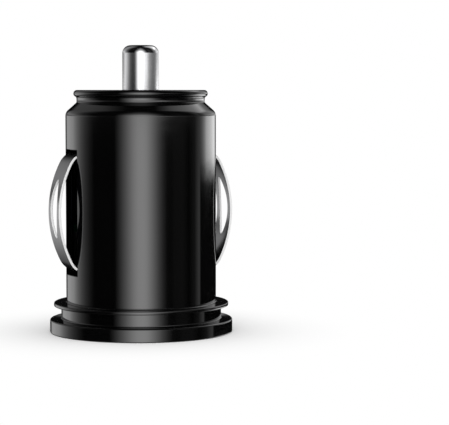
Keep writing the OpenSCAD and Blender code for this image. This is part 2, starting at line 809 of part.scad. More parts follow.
module inductor_winding() {
    out = inductor_d / 2 - 0.5;
    color([0.72, 0.36, 0.16])
    lying(inductor_y, inductor_z) rotate_extrude() union() {
        translate([core_hub_r + seat_gap, core_flange_t + seat_gap])
            square([out - winding_wire / 2 - core_hub_r, inductor_h - 2 * (core_flange_t + seat_gap)]);
        for (i = [0 : winding_turns - 1])
            translate([out - winding_wire / 2, core_flange_t + (i + 0.5) * winding_pitch])
                circle(winding_wire / 2 - seat_gap, $fn = 32);
    }
}

// The tall can on the port board, with its beaded foot and its two leads
module input_capacitor() {
    r = input_cap_d / 2;
    bead = 0.5;
    color([0.16, 0.17, 0.3])
    translate([input_cap_at[0], input_cap_at[1], input_cap_z]) {
        rotate_extrude() difference() {
            union() {
                square([r - 0.3, input_cap_h]);
                square([r, input_cap_h - 0.3]);
                translate([r - 0.3, input_cap_h - 0.3]) circle(0.3, $fn = 32);
            }
            translate([r + 0.2, 1.1]) circle(bead, $fn = 32);
            translate([-cut, input_cap_h - 0.15]) square([r - 0.8 + cut, cut]);
        }
        for (y = [-1, 1])
            translate([0, y * lead_spacing / 2, port_board_z - input_cap_z])
                cylinder(r = 0.25, h = input_cap_z - port_board_z + cut, $fn = 24);
    }
}

module output_capacitor() {
    r = output_cap_d / 2;
    foot = 1.0;
    color([0.75, 0.75, 0.77])
    lying(output_cap_y, output_cap_z) union() {
        linear_extrude(foot) difference() {
            square(2 * r + 0.3, center = true);
            for (m = [-1, 1])
                translate([r + 0.15, m * (r + 0.15)]) rotate(45) square(1.2, center = true);
        }
        rotate_extrude() union() {
            square([r - 0.3, output_cap_h]);
            square([r, output_cap_h - 0.3]);
            translate([r - 0.3, output_cap_h - 0.3]) circle(0.3, $fn = 32);
        }
    }
}

// A flat chip with bent legs down two sides, lying in its own XY plane
module leaded_chip(len, w, h, legs) {
    lift = 0.1;
    leg = 0.4;
    pitch = len / legs;
    translate([-w / 2, -len / 2, lift]) cube([w, len, h - lift]);
    for (i = [0 : legs - 1], m = [0, 1])
        mirror([m, 0, 0]) translate([w / 2, (i + 0.5) * pitch - len / 2 - leg / 2, 0]) {
            translate([-0.1, 0, h / 2]) cube([0.5, leg, 0.2]);
            translate([0.2, 0, 0]) cube([0.2, leg, h / 2 + 0.2]);
            translate([0.2, 0, 0]) cube([chip_foot - 0.2, leg, 0.2]);
        }
}

module converter_chip() {
    color([0.08, 0.08, 0.085])
    mirror([1, 0, 0]) lying(chip_y, chip_z) leaded_chip(chip_len, chip_w, chip_h, 4);
}

module rectifier_diode() {
    body = diode_body;
    tab = diode_tab;
    color([0.1, 0.1, 0.11])
    mirror([1, 0, 0]) lying(diode_y, diode_z) union() {
        translate([-body[0] / 2, -body[1] / 2, 0.1]) cube([body[0], body[1], body[2] - 0.1]);
        for (m = [0, 1])
            mirror([0, m, 0]) translate([-tab[0] / 2, body[1] / 2 - tab[1] / 2, 0]) cube(tab);
    }
}

// A chip part with metal ends a little proud of its middle
module chip_part(len, w, h) {
    translate([-w / 2, -len / 2, 0]) cube([w, len, h - 0.04]);
    for (m = [-1, 1])
        translate([-w / 2, m > 0 ? len / 2 - 0.3 : -len / 2, 0]) cube([w, 0.3, h]);
}

module input_fuse() {
    color([0.85, 0.85, 0.82])
    lying(fuse_y, small_z) chip_part(fuse_len, small_len, small_w);
}

module charge_control_chips() {
    color([0.08, 0.08, 0.085])
    for (place = control_chip_places)
        translate([place[0], place[1], port_board_top + seat_gap])
            leaded_chip(control_chip[1], control_chip[0], control_chip[2], 3);
}

module chip_capacitors() {
    color([0.62, 0.5, 0.36])
    for (i = [0 : 2])
        mirror([1, 0, 0]) lying(small_y - i * small_pitch, small_z)
            chip_part(small_w, small_len, small_w);
}

module chip_resistors() {
    color([0.12, 0.12, 0.13])
    for (i = [0 : 2])
        lying(small_y - i * small_pitch, small_z) chip_part(small_w, small_len, 0.6 * small_w);
}

barrel_shell();
head_cap();
face_plate();
tip_pin();
tip_spring();
tip_terminal();
ground_contact_left();
ground_contact_right();
ground_terminal_left();
ground_terminal_right();
port_shell_upper();
port_shell_lower();
port_tongue_upper();
port_tongue_lower();
port_contacts_upper();
port_contacts_lower();
port_board();
power_board();
inductor_core();
inductor_winding();
input_capacitor();
output_capacitor();
converter_chip();
rectifier_diode();
input_fuse();
charge_control_chips();
chip_capacitors();
chip_resistors();
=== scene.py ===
from math import atan2, cos, degrees, pi, radians, sin, sqrt

import bmesh
import bpy
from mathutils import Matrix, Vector


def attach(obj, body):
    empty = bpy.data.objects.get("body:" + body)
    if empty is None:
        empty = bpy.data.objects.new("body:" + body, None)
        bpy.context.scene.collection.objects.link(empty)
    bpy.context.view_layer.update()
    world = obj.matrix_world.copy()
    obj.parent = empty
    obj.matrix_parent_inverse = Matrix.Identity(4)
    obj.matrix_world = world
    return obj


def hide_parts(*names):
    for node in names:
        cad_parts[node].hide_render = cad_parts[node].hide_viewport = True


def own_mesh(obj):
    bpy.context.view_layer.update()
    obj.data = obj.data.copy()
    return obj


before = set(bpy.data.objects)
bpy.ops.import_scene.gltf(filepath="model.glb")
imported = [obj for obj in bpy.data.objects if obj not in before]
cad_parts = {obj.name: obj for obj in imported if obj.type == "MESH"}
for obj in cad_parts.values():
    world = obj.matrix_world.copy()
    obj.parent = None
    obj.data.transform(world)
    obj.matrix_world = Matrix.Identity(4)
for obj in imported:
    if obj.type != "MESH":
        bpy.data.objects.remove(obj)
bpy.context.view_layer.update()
mm = 0.001
roundSides = 192   # sides of the turned pieces
tinyStep = 1e-5   # shorter steps along a section are left out, in millimetres

# modelling helpers


def startMesh(name, addPrimitive):
    bpy.ops.object.select_all(action="DESELECT")
    addPrimitive()
    piece = bpy.context.object
    piece.name = piece.data.name = name
    return piece


def only(piece):
    bpy.ops.object.select_all(action="DESELECT")
    piece.select_set(True)
    bpy.context.view_layer.objects.active = piece


def editMode():
    bpy.ops.object.mode_set(mode="EDIT")
    bpy.ops.mesh.select_mode(type="VERT")


def objectMode():
    bpy.ops.object.mode_set(mode="OBJECT")


def selectAll():
    bpy.ops.mesh.select_all(action="SELECT")


def moveBy(x, y, z):
    bpy.ops.transform.translate(value=(x * mm, y * mm, z * mm))


def extrude(x, y, z):
    bpy.ops.mesh.extrude_region_move(TRANSFORM_OT_translate={"value": (x * mm, y * mm, z * mm)})


def closeMesh():
    # turns the faces of the edited mesh outwards and leaves edit mode
    selectAll()
    bpy.ops.mesh.normals_make_consistent(inside=False)
    objectMode()


def pick(kind, test):
    # selects what passes the test in the mesh that is being edited
    bpy.ops.mesh.select_mode(type={"verts": "VERT", "edges": "EDGE", "faces": "FACE"}[kind])
    bpy.ops.mesh.select_all(action="DESELECT")
    mesh = bpy.context.object.data
    shape = bmesh.from_edit_mesh(mesh)
    for part in getattr(shape, kind):
        if test(part):
            part.select_set(True)
    bmesh.update_edit_mesh(mesh)


def applyModifier(piece, kind, **settings):
    only(piece)
    modifier = piece.modifiers.new(kind.title(), kind)
    for key, value in settings.items():
        setattr(modifier, key, value)
    bpy.ops.object.modifier_apply(modifier=modifier.name)


def cutAway(piece, cutter):
    applyModifier(piece, "BOOLEAN", operation="DIFFERENCE", solver="EXACT", object=cutter)
    bpy.data.objects.remove(cutter, do_unlink=True)


def roundEdges(piece, width, segments=2, angle=35):
    applyModifier(piece, "BEVEL", width=width * mm, segments=segments, limit_method="ANGLE",
                  angle_limit=radians(angle), use_clamp_overlap=False, miter_outer="MITER_ARC")


def smooth(piece, angle=32, weighted=True):
    only(piece)
    bpy.ops.object.shade_smooth_by_angle(angle=radians(angle))
    if weighted:
        applyModifier(piece, "WEIGHTED_NORMAL", keep_sharp=True, weight=80)


def arcPoints(centre, radius, start, end, steps):
    # points on an arc in the section plane, angles in degrees from the outward direction
    points = []
    for i in range(steps + 1):
        a = radians(start + (end - start) * i / steps)
        points.append((centre[0] + radius * cos(a), centre[1] + radius * sin(a)))
    return points


def drawn(name, points):
    # a line of edges: one vertex, extruded from point to point
    piece = startMesh(name, lambda: bpy.ops.mesh.primitive_plane_add(size=mm))
    editMode()
    selectAll()
    bpy.ops.mesh.merge(type="CENTER")
    last = points[0]
    moveBy(*last)
    for point in points[1:]:
        step = [to - at for at, to in zip(last, point)]
        if sum(abs(part) for part in step) < tinyStep:
            continue
        extrude(*step)
        last = point
    return piece


def turned(name, section, steps=roundSides):
    # draws the section and spins it about the upright axis
    piece = drawn(name, [(x, 0, z) for x, z in section])
    selectAll()
    bpy.ops.mesh.spin(steps=steps, angle=2 * pi, center=(0, 0, 0), axis=(0, 0, 1))
    selectAll()
    bpy.ops.mesh.remove_doubles(threshold=0.0005 * mm)
    closeMesh()
    return piece


def roundedFace(name, w, h, corner, z, y=0):
    # one face with rounded corners, from a plane whose corners are bevelled
    piece = startMesh(name, lambda: bpy.ops.mesh.primitive_plane_add(size=1))
    editMode()
    selectAll()
    bpy.ops.transform.resize(value=(w * mm, h * mm, 1))
    bpy.ops.mesh.bevel(offset=corner * mm, affect="VERTICES", segments=8, profile=0.5)
    selectAll()
    moveBy(0, y, z)
    return piece


def roundedBlock(name, w, h, corner, z0, z1, y=0):
    piece = roundedFace(name, w, h, corner, z0, y)
    extrude(0, 0, z1 - z0)
    closeMesh()
    return piece


def placeAtOrigin(piece):
    only(piece)
    bpy.ops.object.transform_apply(location=True, rotation=True, scale=True)


def copyOfNode(node, name):
    # a CAD node's mesh as a new piece, with its split edges merged
    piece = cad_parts[node].copy()
    piece.data = piece.data.copy()
    piece.name = piece.data.name = name
    for key in list(piece.keys()):
        del piece[key]
    piece.parent = None
    bpy.context.collection.objects.link(piece)
    only(piece)
    editMode()
    selectAll()
    bpy.ops.mesh.remove_doubles(threshold=0.001 * mm)
    objectMode()
    return piece


# shader tools


class Wire:
    # an output socket that takes part in Python maths
    def __init__(self, tree, socket):
        self.tree = tree
        self.socket = socket

    def maths(self, operation, *values):
        node = self.tree.nodes.new("ShaderNodeMath")
        node.operation = operation
        for slot, value in zip(node.inputs, values):
            plug(self.tree, slot, value)
        return Wire(self.tree, node.outputs[0])

    def __add__(self, other): return self.maths("ADD", self, other)
    def __radd__(self, other): return self.maths("ADD", other, self)
    def __sub__(self, other): return self.maths("SUBTRACT", self, other)
    def __rsub__(self, other): return self.maths("SUBTRACT", other, self)
    def __mul__(self, other): return self.maths("MULTIPLY", self, other)
    def __rmul__(self, other): return self.maths("MULTIPLY", other, self)
    def __truediv__(self, other): return self.maths("DIVIDE", self, other)


def plug(tree, slot, value):
    if isinstance(value, Wire):
        tree.links.new(value.socket, slot)
    elif isinstance(value, (tuple, list)) and len(value) == 3 and slot.type == "RGBA":
        slot.default_value = (*value, 1)
    else:
        slot.default_value = value


class Nodes:
    # the node tree of a material or of the world
    def __init__(self, owner):
        owner.use_nodes = True
        self.owner = owner
        self.tree = owner.node_tree

    def add(self, kind, settings=None, inputs=None, out=0):
        node = self.tree.nodes.new("ShaderNode" + kind)
        for key, value in (settings or {}).items():
            if key == "stops":
                setStops(node.color_ramp, value)
            else:
                setattr(node, key, value)
        for key, value in (inputs or {}).items():
            plug(self.tree, node.inputs[key], value)
        return Wire(self.tree, node.outputs[out])

    def mix(self, factor, first, second):
        return self.add("Mix", {"data_type": "RGBA"}, {0: factor, 6: first, 7: second}, out=2)


def setStops(ramp, stops):
    while len(ramp.elements) > 1:
        ramp.elements.remove(ramp.elements[-1])
    for i, (place, level) in enumerate(stops):
        stop = ramp.elements[0] if i == 0 else ramp.elements.new(place)
        stop.position = place
        stop.color = (level, level, level, 1)


class Finish(Nodes):
    # a material with one Principled shader
    def __init__(self, name, **constants):
        super().__init__(bpy.data.materials.new(name))
        self.shader = self.tree.nodes["Principled BSDF"]
        for key, value in constants.items():
            self.set(key, value)

    def set(self, key, value):
        plug(self.tree, self.shader.inputs[key.replace("_", " ")], value)

    def coords(self, stretch=(1, 1, 1)):
        # object coordinates in millimetres, stretched where a grain runs one way
        place = self.add("TexCoord", out="Object")
        return self.add("Mapping", None, {"Vector": place, "Scale": tuple(s / mm for s in stretch)})

    def noise(self, size, detail=3, stretch=(1, 1, 1), rough=0.5):
        # size is the grain's size in millimetres
        return self.add("TexNoise", None, {
            "Vector": self.coords(stretch), "Scale": 1 / size, "Detail": detail, "Roughness": rough})

    def bump(self, height, depth, under=None):
        # depth is the height of the relief in millimetres
        inputs = {"Height": height, "Distance": depth * mm, "Strength": 1}
        if under is not None:
            inputs["Normal"] = under
        return self.add("Bump", None, inputs)


# finishes


def polishedBlack(name, tone=0.0009):
    f = Finish(name, IOR=1.8, Specular_IOR_Level=0.5)
    smear = f.noise(5, 4)
    pores = f.noise(0.09, 2)
    f.set("Base Color", f.mix(smear, (tone, tone, tone * 1.05), (tone * 1.3, tone * 1.3, tone * 1.36)))
    f.set("Roughness", 0.04 + smear * 0.04 + pores * 0.015)
    wave = f.bump(f.noise(2.4, 1), 0.0035)
    f.set("Normal", f.bump(pores, 0.0004, under=wave))
    return f.owner


def sparkGrain(name, tone=0.038):
    # matt moulded face: a fine spark eroded grain
    f = Finish(name, Specular_IOR_Level=0.4)
    grain = f.noise(0.11, 4, rough=0.65)
    cloud = f.noise(3.5, 3)
    shade = f.mix(grain, (tone * 0.88, tone * 0.88, tone * 0.89), (tone * 1.12, tone * 1.12, tone * 1.14))
    f.set("Base Color", shade)
    f.set("Roughness", 0.5 + cloud * 0.08)
    f.set("Normal", f.bump(grain, 0.012))
    return f.owner


def mouldedPlastic(name, colour, rough=0.42):
    f = Finish(name, Specular_IOR_Level=0.5)
    grain = f.noise(0.2, 3)
    dark = tuple(c * 0.82 for c in colour)
    f.set("Base Color", f.mix(f.noise(1.5, 3), colour, dark))
    f.set("Roughness", rough - 0.05 + grain * 0.12)
    f.set("Normal", f.bump(grain, 0.006))
    return f.owner


def turnedChrome(name):
    f = Finish(name, Metallic=1.0)
    rings = f.noise(0.25, 3, stretch=(0.05, 0.05, 4))
    haze = f.noise(2.2, 4)
    f.set("Base Color", f.mix(haze, (0.86, 0.86, 0.87), (0.80, 0.80, 0.82)))
    f.set("Roughness", 0.08 + haze * 0.05 + rings * 0.03)
    f.set("Normal", f.bump(rings, 0.0006))
    return f.owner


def rolledSteel(name, colour, rough, along=(3, 0.12, 0.12)):
    # sheet metal with rolling lines, which run where the stretch is small
    f = Finish(name, Metallic=1.0)
    lines = f.noise(0.35, 3, stretch=along)
    haze = f.noise(1.8, 4)
    dark = tuple(c * 0.86 for c in colour)
    f.set("Base Color", f.mix(haze * 0.6 + lines * 0.4, colour, dark))
    f.set("Roughness", rough - 0.04 + lines * 0.06 + haze * 0.05)
    f.set("Normal", f.bump(lines, 0.0012))
    return f.owner


def stampedSteel(name, colour, rough, highlightColour, cutRough):
    # rolled strip whose cut edges, marked by the mesh's own attribute, are duller and not metallic,
    # painted near white: a painted highlight along the edges
    f = Finish(name)
    cut = f.add("Attribute", {"attribute_type": "GEOMETRY", "attribute_name": "cutEdgeHighlight"}, out="Fac")
    lines = f.noise(0.35, 3, stretch=(0.12, 3, 0.12))
    haze = f.noise(1.8, 4)
    drag = f.noise(0.16, 3)
    dark = tuple(c * 0.86 for c in colour)
    face = f.mix(haze * 0.6 + lines * 0.4, colour, dark)
    # the cut edges get a near white colour in place of metal: a painted highlight
    f.set("Base Color", f.mix(cut, face, f.mix(drag, highlightColour, tuple(c * 0.93 for c in highlightColour))))
    faceRough = rough - 0.04 + lines * 0.06 + haze * 0.05
    f.set("Roughness", faceRough + (cutRough - rough) * cut)
    f.set("Metallic", 1 - cut)
    f.set("Normal", f.bump(lines * (1 - cut) + drag * cut, 0.0012))
    return f.owner


def boardMask(name):
    # green solder mask over a woven board, with paler tracks under it
    f = Finish(name, Specular_IOR_Level=0.5)
    weave = f.add("TexWave", {"wave_type": "BANDS", "bands_direction": "DIAGONAL"},
                  {"Vector": f.coords(), "Scale": 1.4, "Distortion": 0.6}, out="Fac")
    tracks = f.add("TexBrick", {"offset": 0.5}, {
        "Vector": f.coords(), "Scale": 0.9, "Mortar Size": 0.02, "Mortar Smooth": 0.1}, out="Fac")
    base = f.mix(f.noise(1.2, 3), (0.016, 0.085, 0.04), (0.022, 0.11, 0.05))
    f.set("Base Color", f.mix(tracks * 0.7, base, (0.045, 0.19, 0.075)))
    f.set("Roughness", 0.3 + weave * 0.08)
    f.set("Normal", f.bump(tracks * 0.6 + weave * 0.15, 0.01))
    return f.owner


def shrinkSleeve(name):
    # thin glossy film on a capacitor can, dark blue
    f = Finish(name, Specular_IOR_Level=0.5)
    film = f.noise(0.9, 3, stretch=(1, 1, 0.3))
    f.set("Base Color", f.mix(film, (0.018, 0.022, 0.075), (0.026, 0.03, 0.1)))
    f.set("Roughness", 0.24 + film * 0.1)
    f.set("Normal", f.bump(film, 0.006))
    return f.owner


def enamelledWire(name):
    f = Finish(name, Metallic=1.0)
    pull = f.noise(0.3, 3, stretch=(0.6, 2, 2))
    f.set("Base Color", f.mix(pull, (0.66, 0.27, 0.11), (0.5, 0.17, 0.06)))
    f.set("Roughness", 0.24 + pull * 0.1)
    f.set("Normal", f.bump(pull, 0.003))
    return f.owner


def whitePrint(name):
    f = Finish(name, Specular_IOR_Level=0.4)
    ink = f.noise(0.06, 3)
    f.set("Base Color", f.mix(ink, (0.94, 0.94, 0.94), (0.86, 0.86, 0.86)))
    f.set("Roughness", 0.5 + ink * 0.1)
    return f.owner


print("finishes")
glossBlack = polishedBlack("polished black")
capBlack = polishedBlack("polished black cap", 0.0011)
plateGrain = sparkGrain("matt face", 0.031)
chrome = turnedChrome("turned chrome")
# the near white cut edges of the contacts are a painted highlight
contactSteel = stampedSteel("contact steel", (0.19, 0.19, 0.195), 0.15, (0.97, 0.97, 0.97), 0.5)
springSteel = rolledSteel("spring steel", (0.5, 0.5, 0.52), 0.28, along=(1, 1, 1))
brass = rolledSteel("terminal brass", (0.72, 0.54, 0.26), 0.26)
portSteel = rolledSteel("port steel", (0.72, 0.72, 0.74), 0.3, along=(0.15, 3, 3))
gold = rolledSteel("contact gold", (0.83, 0.6, 0.26), 0.2, along=(3, 3, 0.15))
tongueBlack = mouldedPlastic("tongue black", (0.034, 0.034, 0.036))
chipBlack = mouldedPlastic("chip black", (0.022, 0.022, 0.024), 0.5)
ferrite = mouldedPlastic("ferrite", (0.055, 0.055, 0.06), 0.62)
ceramic = mouldedPlastic("ceramic", (0.36, 0.26, 0.16), 0.45)
aluminium = rolledSteel("can aluminium", (0.74, 0.74, 0.76), 0.3, along=(1, 1, 1))
boardGreen = boardMask("solder mask")
sleeve = shrinkSleeve("can sleeve")
copper = enamelledWire("copper wire")
markInk = whitePrint("white print")

nodeFinish = {
    "tip_terminal": brass, "ground_terminal_left": brass, "ground_terminal_right": brass,
    "port_shell_upper": portSteel, "port_shell_lower": portSteel,
    "port_tongue_upper": tongueBlack, "port_tongue_lower": tongueBlack,
    "port_contacts_upper": gold, "port_contacts_lower": gold,
    "port_board": boardGreen, "power_board": boardGreen,
    "inductor_core": ferrite, "inductor_winding": copper,
    "input_capacitor": sleeve, "output_capacitor": aluminium,
    "converter_chip": chipBlack, "rectifier_diode": chipBlack, "input_fuse": ceramic,
    "charge_control_chips": chipBlack, "chip_capacitors": ceramic, "chip_resistors": chipBlack,
}
for node, finish in nodeFinish.items():
    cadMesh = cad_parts[node].data
    if not cadMesh.materials:
        cadMesh.materials.append(finish)
    for slot in range(len(cadMesh.materials)):
        cadMesh.materials[slot] = finish


def dress(piece, body, slot, finish, *replaced):
    piece.data.materials.clear()
    piece.data.materials.append(finish)
    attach(piece, body)
    if replaced:
        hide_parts(*replaced)


# barrel

print("barrel")
barrel = {
    "wallR": 10.3, "boreR": 9.497, "foot": 3.6, "ringR": 12.0, "ringTop": 4.1, "ringEdge": 0.12,
    "toeR": 0.1, "shoulderR": 1.0, "shoulderStart": 29.70, "shoulderAngle": 41.7,
    "neckR": 8.78, "neckFillet": 0.3, "rimCentre": (8.72, 32.72), "rimR": 0.48, "rimInnerR": 0.25,
    "recessR": 8.03, "recessFloor": 31.7, "recessFillet": 0.3,
    "collarR": 3.77, "collarTop": 32.4, "collarFillet": 0.2, "collarEdge": 0.15,
    "pinBore": 2.57, "boreEdge": 0.12, "endWallIn": 29.8, "chamfer": 1.0,
    "slotHalfW": 2.82, "slotLow": 8.1, "slotHigh": 25.15, "slotEdge": 0.05, "slotFromX": 7, "slotToX": 13,
}


def barrelSection(b):
    ring = b["ringEdge"]
    toe = b["toeR"]
    section = [(b["boreR"], b["foot"])]
    section += arcPoints((b["ringR"] - ring, b["foot"] + ring), ring, -90, 0, 4)
    section += arcPoints((b["ringR"] - ring, b["ringTop"] - ring), ring, 0, 90, 4)
    section += arcPoints((b["wallR"] + toe, b["ringTop"] + toe), toe, -90, -180, 3)
    section += [(b["wallR"], b["slotLow"]), (b["wallR"], b["slotHigh"])]

    # shoulder and neck: the neck's two fillets touch the shoulder's slope and the rim's round
    facing = 90 - b["shoulderAngle"]
    shoulderX = b["wallR"] - b["shoulderR"]
    fillet = b["neckFillet"]
    neckX = b["neckR"] + fillet
    slopeAt = shoulderX * cos(radians(facing)) + b["shoulderStart"] * sin(radians(facing)) + b["shoulderR"]
    lowZ = (slopeAt + fillet - neckX * cos(radians(facing))) / sin(radians(facing))
    rimX, rimZ = b["rimCentre"]
    highZ = rimZ - sqrt((fillet + b["rimR"]) ** 2 - (neckX - rimX) ** 2)
    rimStart = degrees(atan2(highZ - rimZ, neckX - rimX))
    section += arcPoints((shoulderX, b["shoulderStart"]), b["shoulderR"], 0, facing, 8)
    section += arcPoints((neckX, lowZ), fillet, 180 + facing, 180, 6)
    section += arcPoints((neckX, highZ), fillet, 180, 180 + rimStart, 6)
    section += arcPoints((rimX, rimZ), b["rimR"], rimStart, 90, 12)

    # the recess inside the rim, the collar and the bore
    lip, fillet = b["rimInnerR"], b["recessFillet"]
    section += arcPoints((b["recessR"] + lip, rimZ + b["rimR"] - lip), lip, 90, 180, 5)
    section += arcPoints((b["recessR"] - fillet, b["recessFloor"] + fillet), fillet, 0, -90, 5)
    fillet, edge = b["collarFillet"], b["collarEdge"]
    section += arcPoints((b["collarR"] + fillet, b["recessFloor"] + fillet), fillet, -90, -180, 4)
    section += arcPoints((b["collarR"] - edge, b["collarTop"] - edge), edge, 0, 90, 4)
    edge = b["boreEdge"]
    section += arcPoints((b["pinBore"] + edge, b["collarTop"] - edge), edge, 90, 180, 4)
    section += [(b["pinBore"], b["endWallIn"]), (b["boreR"] - b["chamfer"], b["endWallIn"]),
                (b["boreR"], b["endWallIn"] - b["chamfer"]), (b["boreR"], b["foot"])]
    return section


barrelPiece = turned("barrel", barrelSection(barrel))
for side in (-1, 1):
    cutter = startMesh("slotCutter", lambda: bpy.ops.mesh.primitive_cube_add(size=1))
    editMode()
    selectAll()
    slotDeep = barrel["slotToX"] - barrel["slotFromX"]
    slotHigh = barrel["slotHigh"] - barrel["slotLow"]
    bpy.ops.transform.resize(value=(slotDeep * mm, 2 * barrel["slotHalfW"] * mm, slotHigh * mm))
    moveBy(side * (barrel["slotFromX"] + slotDeep / 2), 0, barrel["slotLow"] + slotHigh / 2)
    objectMode()
    cutAway(barrelPiece, cutter)
roundEdges(barrelPiece, barrel["slotEdge"], 1, 40)
smooth(barrelPiece)
dress(barrelPiece, "housing", "shell_black", glossBlack, "barrel_shell")

# port cap

print("port cap")
cap = {
    "flangeR": 12.55, "flangeT": 1.85, "edge": 0.22, "footEdge": 0.14, "plateLipR": 0.09,
    "grooveR": 11.0, "grooveFillet": 0.1, "top": 3.56, "topEdge": 0.08,
    "pocketR": 12.29, "pocket": 0.84, "lip": 0.3, "lipSteps": 8, "portY": 4.385,
    "openingW": 14.7, "openingH": 7.4, "corner": 1.2, "depth": 2.6,
    "recessFillet": 0.15, "windowInset": 0.77, "windowEdge": 0.06,
}


def capSection(c):
    lip, foot, edge = c["plateLipR"], c["footEdge"], c["edge"]
    groove, top = c["grooveFillet"], c["topEdge"]
    section = [(0, c["pocket"]), (c["pocketR"], c["pocket"])]
    section += arcPoints((c["pocketR"] + lip, lip), lip, 180, 270, 4)
    section += arcPoints((c["flangeR"] - foot, foot), foot, -90, 0, 4)
    section += arcPoints((c["flangeR"] - edge, c["flangeT"] - edge), edge, 0, 90, 5)
    section += arcPoints((c["grooveR"] + groove, c["flangeT"] + groove), groove, -90, -180, 3)
    section += arcPoints((c["grooveR"] - top, c["top"] - top), top, 0, 90, 3)
    section += [(0, c["top"])]
    return section


# the clips that hold the cap, cut from a merged copy of the CAD cap
clips = copyOfNode("head_cap", "capClips")
editMode()
selectAll()
# just above the cap's top, whose face would close the ports if it were kept
bpy.ops.mesh.bisect(plane_co=(0, 0, (cap["top"] + 0.001) * mm), plane_no=(0, 0, 1), clear_inner=True,
                    threshold=1e-7)
pick("edges", lambda edge: edge.is_boundary)
bpy.ops.mesh.fill()
closeMesh()
smooth(clips, 25, weighted=False)
dress(clips, "housing", "shell_black", capBlack, "head_cap")

capPiece = turned("portCap", capSection(cap))
frameW = cap["openingW"] + 2 * cap["lip"]
frameH = cap["openingH"] + 2 * cap["lip"]
frameCorner = cap["corner"] + cap["lip"]
for side in (-1, 1):
    cutter = roundedBlock("windowCutter", frameW, frameH, frameCorner, -1, 5, side * cap["portY"])
    cutAway(capPiece, cutter)
smooth(capPiece)
dress(capPiece, "housing", "shell_black", capBlack, "head_cap")


def rollInwards(radius, turn, steps, direction):
    # insets the selected face along a round, so that it ends lower or higher
    for i in range(steps):
        before, after = turn * i / steps, turn * (i + 1) / steps
        bpy.ops.mesh.inset(thickness=radius * (cos(before) - cos(after)) * mm, depth=0)
        moveBy(0, 0, direction * radius * (sin(after) - sin(before)))


# the frame of an opening: outer wall, rounded lip, recess, floor and the window for the shell
lipR = cap["lip"] / 2
framePiece = roundedFace("openingFrame", frameW, frameH, frameCorner, cap["top"])
extrude(0, 0, lipR - cap["top"])
rollInwards(lipR, pi, cap["lipSteps"], -1)
extrude(0, 0, cap["depth"] - cap["recessFillet"] - lipR)
rollInwards(cap["recessFillet"], pi / 2, 4, 1)
bpy.ops.mesh.inset(thickness=(cap["windowInset"] - cap["recessFillet"] - cap["windowEdge"]) * mm, depth=0)
bpy.ops.mesh.inset(thickness=cap["windowEdge"] * mm, depth=0)
moveBy(0, 0, cap["windowEdge"])
extrude(0, 0, cap["top"] - cap["depth"] - cap["windowEdge"])
bpy.ops.mesh.delete(type="ONLY_FACE")
pick("faces", lambda face: len(face.verts) > 8)
bpy.ops.mesh.delete(type="ONLY_FACE")
pick("edges", lambda edge: edge.is_boundary)
bpy.ops.mesh.bridge_edge_loops()
closeMesh()
smooth(framePiece, 40)
for side, name in ((1, "openingFrameUpper"), (-1, "openingFrameLower")):
    copy = framePiece.copy()
    copy.data = framePiece.data.copy()
    copy.name = copy.data.name = name
    bpy.context.collection.objects.link(copy)
    copy.location = (0, side * cap["portY"] * mm, 0)
    placeAtOrigin(copy)
    dress(copy, "housing", "shell_black", capBlack, "head_cap")
bpy.data.objects.remove(framePiece, do_unlink=True)

# face plate

print("face plate")
plate = {"r": 12.25, "face": 0.02, "back": 0.8, "gap": 0.04, "edge": 0.07}
platePiece = startMesh("facePlate", lambda: bpy.ops.mesh.primitive_circle_add(
    vertices=roundSides, radius=plate["r"] * mm, fill_type="NGON", location=(0, 0, 0)))
editMode()
selectAll()
moveBy(0, 0, plate["face"])
extrude(0, 0, plate["back"] - plate["face"])
closeMesh()
for side in (-1, 1):
    cutter = roundedBlock("holeCutter", frameW + 2 * plate["gap"], frameH + 2 * plate["gap"],
                          frameCorner + plate["gap"], -1, 2, side * cap["portY"])
    cutAway(platePiece, cutter)
roundEdges(platePiece, plate["edge"], 2, 40)
smooth(platePiece)
dress(platePiece, "housing", "face_grey", plateGrain, "face_plate")

# generic marks: a triangle that points at each port, and the port's number
mark = {"y": 9.62, "arrowR": 0.72, "arrowX": 1.0, "digitX": -0.55, "digitSize": 1.9, "swell": 0.025,
        "low": 0.001, "thick": 0.025}
markParts = []
for side, number in ((1, "1"), (-1, "2")):
    arrow = startMesh("portMark", lambda: bpy.ops.mesh.primitive_circle_add(
        vertices=3, radius=mark["arrowR"] * mm, fill_type="NGON"))
    editMode()
    selectAll()
    bpy.ops.transform.resize(value=(1, -side, 1))
    moveBy(mark["arrowX"], side * mark["y"], 0)
    extrude(0, 0, mark["thick"])
    closeMesh()
    markParts.append(arrow)
    bpy.ops.object.select_all(action="DESELECT")
    bpy.ops.object.text_add(rotation=(0, pi, 0),
                            location=(mark["digitX"] * mm, side * mark["y"] * mm, mark["thick"] * mm))
    digit = bpy.context.object
    digit.name = "portNumber"
    digit.data.body = number
    digit.data.size = mark["digitSize"] * mm
    digit.data.align_x = "CENTER"
    digit.data.align_y = "CENTER"
    digit.data.extrude = mark["thick"] / 2 * mm
    digit.data.offset = mark["swell"] * mm
    bpy.ops.object.convert(target="MESH")
    digit = bpy.context.object
    placeAtOrigin(digit)
    markParts.append(digit)
bpy.ops.object.select_all(action="DESELECT")
for part in markParts:
    part.select_set(True)
bpy.context.view_layer.objects.active = markParts[0]
bpy.ops.object.join()
marksPiece = bpy.context.object
marksPiece.name = marksPiece.data.name = "portMarks"
low = min(v.co.z for v in marksPiece.data.vertices)
editMode()
selectAll()
moveBy(0, 0, mark["low"] - low / mm)
objectMode()
dress(marksPiece, "housing", "face_grey", markInk)

# tip pin

